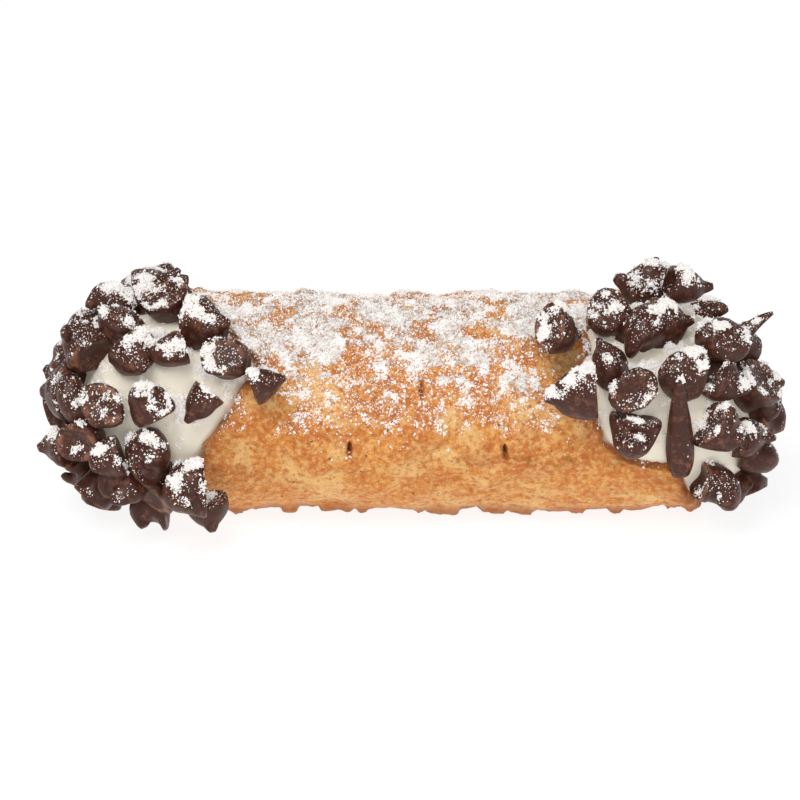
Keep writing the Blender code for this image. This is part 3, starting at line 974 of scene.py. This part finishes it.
# Each piece of sugar: what it lies on, the number of grains, the size of a clump, the
# share of loose grains and the height of a clump.
SUGAR = {
    "sugar_on_shell": (shell, 48000, 1.7 * MM, 0.15, 0.45 * MM),
    "sugar_on_left_chips": (chip_pieces[0], 24000, 2.6 * MM, 0.01, 0.6 * MM),
    "sugar_on_right_chips": (chip_pieces[1], 24000, 2.6 * MM, 0.01, 0.6 * MM),
    "sugar_on_cream": (cream, 46000, 2.2 * MM, 0.01, 1.3 * MM),
}
clumps = [make_clumps(name, *amounts, rng) for name, amounts in SUGAR.items()]

# %% [markdown]
# ## Finishes
#
# Every finish is made of noise in the object's own space, so nothing slides or stretches.
# A small helper adds a node and sets or joins its inputs.

# %% Helpers for building finishes


class Finish:
    """A material being built. Most methods add a node and give back its output."""

    def __init__(self, name, pieces):
        self.material = bpy.data.materials.new(name)
        self.material.use_nodes = True
        self.tree = self.material.node_tree
        self.surface = self.tree.nodes["Principled BSDF"]
        self.place = self.node("ShaderNodeTexCoord", {}).outputs["Object"]
        for piece in pieces:
            piece.data.materials.append(self.material)

    def join(self, socket, value):
        """Joins another node's output to an input, or sets the input to a constant."""
        if isinstance(value, bpy.types.NodeSocket):
            self.tree.links.new(value, socket)
        elif value is not None:
            socket.default_value = value

    def node(self, kind, settings, *inputs):
        """A node with its settings set and its inputs joined, in order."""
        made = self.tree.nodes.new(kind)
        for key, value in settings.items():
            setattr(made, key, value)
        for socket, value in zip(made.inputs, inputs):
            self.join(socket, value)
        return made

    def set(self, **inputs):
        """Sets or joins the inputs of the surface itself, by their names."""
        for key, value in inputs.items():
            self.join(self.surface.inputs[key.replace("_", " ")], value)

    def value(self, name):
        """A number that the piece carries at its points."""
        return self.node("ShaderNodeAttribute", {"attribute_name": name}).outputs["Fac"]

    def noise(self, size, detail=2, rough=0.5, place=None):
        """Noise from 0 to 1, whose swells are about this many metres across."""
        made = self.node("ShaderNodeTexNoise", {})
        self.join(made.inputs["Vector"], place or self.place)
        self.join(made.inputs["Scale"], 1 / size)
        self.join(made.inputs["Detail"], detail)
        self.join(made.inputs["Roughness"], rough)
        return made.outputs["Fac"]

    def cells(self, size):
        """How far a place is from the nearest of points scattered one to a cell."""
        made = self.node("ShaderNodeTexVoronoi", {})
        self.join(made.inputs["Vector"], self.place)
        self.join(made.inputs["Scale"], 1 / size)
        return made.outputs["Distance"]

    def ramp(self, value, start, end, low=0, high=1):
        """An S-curve from low to high as the value goes from start to end."""
        made = self.node("ShaderNodeMapRange", {"interpolation_type": "SMOOTHSTEP"})
        for key, number in zip(range(5), (value, start, end, low, high)):
            self.join(made.inputs[key], number)
        return made.outputs["Result"]

    def sum(self, a, b):
        """Two numbers added."""
        return self.node("ShaderNodeMath", {"operation": "ADD"}, a, b).outputs[0]

    def product(self, a, b):
        """Two numbers multiplied."""
        return self.node("ShaderNodeMath", {"operation": "MULTIPLY"}, a, b).outputs[0]

    def blend(self, share, first, second):
        """The first colour where share is 0 and the second where it is 1."""
        made = self.node("ShaderNodeMix", {"data_type": "RGBA"})
        self.join(made.inputs["Factor"], share)
        for key, colour in (("A", first), ("B", second)):
            if isinstance(colour, tuple):
                colour = (*colour, 1)
            self.join([s for s in made.inputs if s.name == key][2], colour)
        return [s for s in made.outputs if s.name == "Result"][2]

    def bump(self, height, depth, under=None):
        """A surface roughened by a height of this many metres."""
        made = self.node("ShaderNodeBump", {})
        self.join(made.inputs["Height"], height)
        self.join(made.inputs["Distance"], depth)
        self.join(made.inputs["Normal"], under)
        return made.outputs["Normal"]

    def report(self):
        """Prints how many nodes the finish has."""
        print(self.material.name, "has", len(self.tree.nodes), "nodes")


# %% [markdown]
# ### The film of sugar
#
# Every surface wears the same film: fine drifts where much sugar fell and specks where
# little did. It reads the catch worked out above, so it lies where the clumps do.

# %% Sift a film of sugar over a finish
SUGAR_COLOUR = (0.93, 0.9, 0.87)
SPECK_CELL = 0.45 * MM
SPECK_REACH = 0.24  # how much of its cell a speck fills, where the catch is full
SUGAR_ROUGH = 0.95
FILM_DEPTH = 0.08 * MM


def dust(finish, thin, thick, size=0.9 * MM):
    """Where sugar covers the surface: 0 bare, 1 covered.

    Drifts come from a rough noise compared with what the surface catches. Specks are the
    middles of small cells, which grow with the catch and are there where drifts are not.
    """
    caught = finish.value("sugar")
    grains = finish.noise(size, 7, 0.72)
    drift = finish.noise(5 * size, 3)
    level = finish.sum(finish.product(grains, 0.85), finish.product(drift, 0.15))
    over = finish.sum(level, finish.ramp(caught, 0.35, 1, thin - 1, thick - 1))
    drifts = finish.ramp(over, -0.05, 0.09)
    reach = finish.sum(
        finish.ramp(caught, 0, 0.35, 0.0, SPECK_REACH),
        finish.ramp(grains, 0.3, 0.7, -0.14, 0.14),
    )
    far = finish.product(finish.cells(SPECK_CELL), -1.0)
    specks = finish.ramp(finish.sum(reach, far), -0.04, 0.05)
    return finish.node("ShaderNodeMath", {"operation": "MAXIMUM"}, drifts, specks).outputs[0]


print("the film's specks are", SPECK_CELL / MM, "mm apart")

# %% [markdown]
# ### Fried crust
#
# The crust is golden, redder in patches where it browned most and paler where the dough
# stayed pressed flat. Slow noises mix three colours, and fine crumbs break them up.

# %% Mix the colours of the fried dough
GOLDEN = (0.78, 0.305, 0.064)
PALE = (0.94, 0.56, 0.205)
TOASTED = (0.56, 0.137, 0.024)

crust_finish = Finish("fried_crust", [shell])
f = crust_finish
height_up = f.node("ShaderNodeSeparateXYZ", {}, f.place).outputs["Z"]
pressed = f.ramp(height_up, 14 * MM, 4 * MM)
patches = f.ramp(f.noise(8 * MM, 5, 0.62), 0.49, 0.61)
toasting = f.ramp(f.noise(6 * MM, 5, 0.62), 0.44, 0.58, 0, 0.45)
toasting = f.product(toasting, f.ramp(pressed, 0, 1, 1, 0.3))
colour = f.blend(toasting, f.blend(patches, GOLDEN, PALE), TOASTED)
crumbs = f.noise(0.9 * MM, 5, 0.7)
colour = f.blend(f.ramp(crumbs, 0.5, 0.62, 0, 0.7), colour, PALE)
colour = f.blend(f.ramp(crumbs, 0.5, 0.38, 0, 0.75), colour, TOASTED)
f.report()

# %% [markdown]
# Low on the sides fine streaks run along the tube. The cut edges are browner and pores are nearly
# burnt. The strip that the shell lies on is darkened as painted shade, and the bottoms of the slits
# are painted near black as shade.

# %% Streak the pressed dough and brown its edges
STREAK_SQUEEZE = (0.13, 1, 1)
RIM_BROWN = (0.36, 0.095, 0.028)
BURNT_AND_SLIT_SHADE = (0.12, 0.035, 0.014)
# the colour of the painted shade low on the crust
UNDERSIDE_SHADE = (0.42, 0.12, 0.025)

squeezed = f.node("ShaderNodeVectorMath", {"operation": "MULTIPLY"}, f.place, STREAK_SQUEEZE)
streaks = f.noise(0.55 * MM, 5, 0.65, squeezed.outputs["Vector"])
colour = f.blend(f.product(pressed, f.ramp(streaks, 0.5, 0.68, 0, 0.6)), colour, PALE)
colour = f.blend(f.product(pressed, f.ramp(streaks, 0.48, 0.34, 0, 0.55)), colour, TOASTED)
edge = f.product(f.value("rim"), f.ramp(f.noise(3 * MM, 4, 0.6), 0.3, 0.6, 0.35, 1))
colour = f.blend(edge, colour, RIM_BROWN)
pores = f.ramp(f.cells(3.4 * MM), 0.09, 0.045, 0, 0.8)
colour = f.blend(pores, colour, BURNT_AND_SLIT_SHADE)
# painted shade: the deepest middle of each slit is painted near black
colour = f.blend(f.ramp(f.value("pit"), 0.3, 0.85), colour, BURNT_AND_SLIT_SHADE)
# painted shade: the crust darkens towards the strip that it lies on
under = f.ramp(f.sum(height_up, f.product(f.noise(3 * MM, 3), 2 * MM)), 5.5 * MM, 1.8 * MM)
colour = f.blend(f.product(under, 0.85), colour, UNDERSIDE_SHADE)
f.report()

# %% [markdown]
# Under the film of sugar the crust has a slight oily sheen, and crumbs and streaks too
# fine for the mesh are relief in the finish.

# %% Finish the crust
CRUST_ROUGH = 0.42
CRUST_RELIEF = 0.6 * MM

film = f.product(dust(f, 0.14, 0.59, 0.6 * MM), 0.94)
relief = f.sum(f.product(crumbs, 0.75), f.product(streaks, 0.25))
f.set(
    Base_Color=f.blend(film, colour, SUGAR_COLOUR),
    Roughness=f.ramp(film, 0, 1, CRUST_ROUGH, SUGAR_ROUGH),
    Specular_IOR_Level=0.3,
    Normal=f.bump(film, FILM_DEPTH, f.bump(relief, CRUST_RELIEF)),
)
f.report()

# %% [markdown]
# ### Ricotta cream
#
# The cream is satin and a little see-through, which softens its shadows. Light that has
# passed through it is warm, and a faint glow of the same colour stands for it.

# %% Colour the cream
CREAM_DARKER, CREAM_LIGHTER = (1.0, 0.89, 0.72), (1.0, 0.93, 0.79)
SUGAR_ON_CREAM = (1.0, 0.94, 0.86)
CREAM_GLOW = (1, 0.92, 0.8, 1)
CREAM_ROUGH = 0.42

f = Finish("ricotta", [cream])
colour = f.blend(f.noise(7 * MM, 2), CREAM_DARKER, CREAM_LIGHTER)
film = dust(f, 0.05, 0.4)
f.set(
    Base_Color=f.blend(film, colour, SUGAR_ON_CREAM),
    Roughness=f.ramp(film, 0, 1, CREAM_ROUGH, SUGAR_ROUGH),
    Subsurface_Weight=0.2,
    Subsurface_Radius=(1.0, 0.85, 0.65),
    Subsurface_Scale=1.2 * MM,
    Emission_Color=CREAM_GLOW,
    Emission_Strength=0.07,
    Normal=f.bump(film, FILM_DEPTH, f.bump(f.noise(2 * MM, 3), 0.12 * MM)),
)
f.report()

# %% [markdown]
# ### Dark chocolate
#
# The chips have lost their gloss in the bag: they are scuffed all over to a dull brown, and most of
# all along the worn edges of their bases, where the lighter brown is also a painted highlight.

# %% Colour the chips
CHOCOLATE, SCUFFED, WORN_AND_HIGHLIGHT = (0.066, 0.021, 0.013), (0.19, 0.075, 0.045), (0.33, 0.14, 0.08)
CHIP_ROUGH = 0.38
CHIP_RELIEF = 0.06 * MM

f = Finish("chocolate", chip_pieces)
scuffs = f.ramp(f.noise(1.3 * MM, 6, 0.7), 0.48, 0.7)
colour = f.blend(scuffs, CHOCOLATE, SCUFFED)
# wear and a painted highlight: the base edges are painted a lighter brown
rubbed_and_highlit = f.product(f.ramp(f.noise(2.2 * MM, 4, 0.6), 0.45, 0.62), f.value("worn_and_highlit"))
colour = f.blend(rubbed_and_highlit, colour, WORN_AND_HIGHLIGHT)
film = dust(f, 0.08, 0.36, 0.8 * MM)
f.set(
    Base_Color=f.blend(film, colour, SUGAR_COLOUR),
    Roughness=f.ramp(film, 0, 1, CHIP_ROUGH, SUGAR_ROUGH),
    Specular_IOR_Level=0.25,
    Normal=f.bump(film, CHIP_RELIEF, f.bump(f.noise(1.2 * MM, 3), CHIP_RELIEF)),
)
f.report()

# %% [markdown]
# ### Grains of sugar
#
# A heap of fine grains passes light from one to the next, so it has no dark side. The
# grains here are too few for that, and a faint glow of their own takes its place.

# %% Colour the grains
f = Finish("icing_sugar_grains", clumps)
f.set(
    Base_Color=(*SUGAR_COLOUR, 1),
    Roughness=SUGAR_ROUGH,
    Specular_IOR_Level=0.1,
    Emission_Color=(1, 0.98, 0.97, 1),
    Emission_Strength=0.12,
)
f.report()

# %% [markdown]
# ## Light and camera
#
# A broad soft light from above and a little to the left, a weaker one from the front, and
# light from all round, as in a small studio.

# %% Hang the lights
KEY_PLACE, KEY_SIZE, KEY_POWER = (-0.25, -0.4, 0.75), 0.5, 4.2
FILL_PLACE, FILL_SIZE, FILL_POWER = (0.3, -0.9, 0.4), 0.7, 2.2
ROUND_LIGHT = 0.3


def aimed(place):
    """The rotation that turns a lamp or camera here towards the tube's axis."""
    x, y, z = np.array([0, 0, AXIS_HEIGHT]) - place
    level = np.hypot(x, y)
    return np.arctan2(level, -z), 0, np.arctan2(y, x) - np.pi / 2


def area_light(name, place, size, power):
    """A square light that faces the middle of the cannoli."""
    light = bpy.data.lights.new(name, "AREA")
    light.size = size
    light.energy = power
    lamp = new_object(name, light)
    lamp.location = place
    lamp.rotation_euler = aimed(place)


area_light("key", KEY_PLACE, KEY_SIZE, KEY_POWER)
area_light("fill", FILL_PLACE, FILL_SIZE, FILL_POWER)
world = bpy.data.worlds.new("studio")
world.use_nodes = True
sky = world.node_tree.nodes["Background"].inputs
sky["Color"].default_value = (1, 1, 1, 1)
sky["Strength"].default_value = ROUND_LIGHT
bpy.context.scene.world = world
print("lights of", KEY_POWER, "and", FILL_POWER, "watts")

# %% [markdown]
# The table is one large square that glows, so it comes out white all over, while its grey
# takes little of the lamps' light and the cannoli's shadow stays faint.

# %% Lay the table
FLOOR_HALF = 1.5
FLOOR_GREY = 0.22
FLOOR_GLOW = 0.87

floor_mesh = bpy.data.meshes.new("table")
corners = [(x * FLOOR_HALF, y * FLOOR_HALF, 0) for x, y in ((-1, -1), (1, -1), (1, 1), (-1, 1))]
floor_mesh.from_pydata(corners, [], [(0, 1, 2, 3)])
floor = new_object("table", floor_mesh)
f = Finish("white_table", [floor])
f.set(
    Base_Color=(FLOOR_GREY, FLOOR_GREY, FLOOR_GREY, 1),
    Roughness=0.9,
    Emission_Color=(1, 1, 1, 1),
    Emission_Strength=FLOOR_GLOW,
)
print("a table", 2 * FLOOR_HALF, "m across")

# %% [markdown]
# The camera looks down on the front of the cannoli at a low angle, from a metre away. Its
# lens is worked out from the width in view.

# %% Aim the camera
CAMERA_ELEVATION = np.radians(24)
CAMERA_DISTANCE = 1.0
VIEW_WIDTH = 133.3 * MM

camera_data = bpy.data.cameras.new("camera")
camera_data.sensor_width = 36
camera_data.lens = camera_data.sensor_width * CAMERA_DISTANCE / VIEW_WIDTH
camera = new_object("camera", camera_data)
camera_place = np.array([0, -np.cos(CAMERA_ELEVATION), np.sin(CAMERA_ELEVATION)])
camera.location = camera_place * CAMERA_DISTANCE + np.array([0, 0, AXIS_HEIGHT])
camera.rotation_euler = aimed(np.array(camera.location))
bpy.context.scene.camera = camera
bpy.context.scene.view_settings.view_transform = "Standard"
print("a lens of", round(camera_data.lens), "mm")
